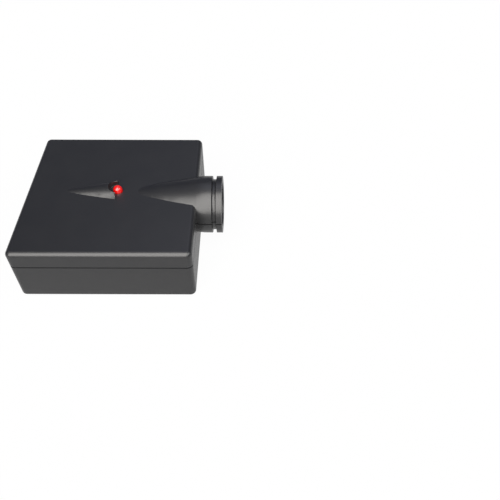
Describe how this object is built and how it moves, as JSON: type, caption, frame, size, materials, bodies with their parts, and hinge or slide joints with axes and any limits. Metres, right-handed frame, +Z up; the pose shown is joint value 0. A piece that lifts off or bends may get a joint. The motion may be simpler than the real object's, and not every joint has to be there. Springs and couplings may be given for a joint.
{
  "type": "garage door safety sensor",
  "caption": "Square black plastic photo-eye sensor with a short grooved lens barrel and a red indicator lamp; watches for anything in the path of a closing door.",
  "frame": {"origin": "centre of the housing's flat underside", "axes": "+X the way the lens barrel looks, +Z up from the underside to the cover with the lamp"},
  "size_m": [0.0619, 0.054, 0.0225],
  "materials": {
    "housing_plastic": "satin, finely spark-eroded",
    "lens_plastic": "polished, passes infrared light",
    "lamp_red": "clear red, lit",
    "emitter_case": "clear tinted resin",
    "screw_steel": "zinc plated",
    "board_laminate": "solder resist",
    "tinned_wire": "tinned",
    "black_resin": "moulded",
    "spacer_nylon": "natural",
    "capacitor_sleeve": "shrunk sleeve",
    "resistor_lacquer": "lacquered",
    "ceramic_dip": "dipped resin",
    "terminal_nylon": "moulded",
    "terminal_brass": "plain"
  },
  "bodies": {
    "root": {"upper_shell": "housing_plastic", "lower_shell": "housing_plastic", "lens": "lens_plastic", "indicator_lamp": "lamp_red", "infrared_emitter": "emitter_case", "housing_screws": "screw_steel", "board_screws": "screw_steel", "terminal_screws": "screw_steel", "circuit_board": "board_laminate", "emitter_leads": "tinned_wire", "indicator_leads": "tinned_wire", "chip_legs": "tinned_wire", "capacitor_leads": "tinned_wire", "rectifier_leads": "tinned_wire", "transistor_legs": "tinned_wire", "resistor_leads": "tinned_wire", "ceramic_leads": "tinned_wire", "solder_joints": "tinned_wire", "emitter_holder": "black_resin", "control_chip": "black_resin", "bridge_rectifier": "black_resin", "drive_transistor": "black_resin", "lamp_spacer": "spacer_nylon", "storage_capacitor": "capacitor_sleeve", "resistors": "resistor_lacquer", "ceramic_capacitors": "ceramic_dip", "terminal_block": "terminal_nylon", "terminal_cages": "terminal_brass"}
  },
  "joints": []
}
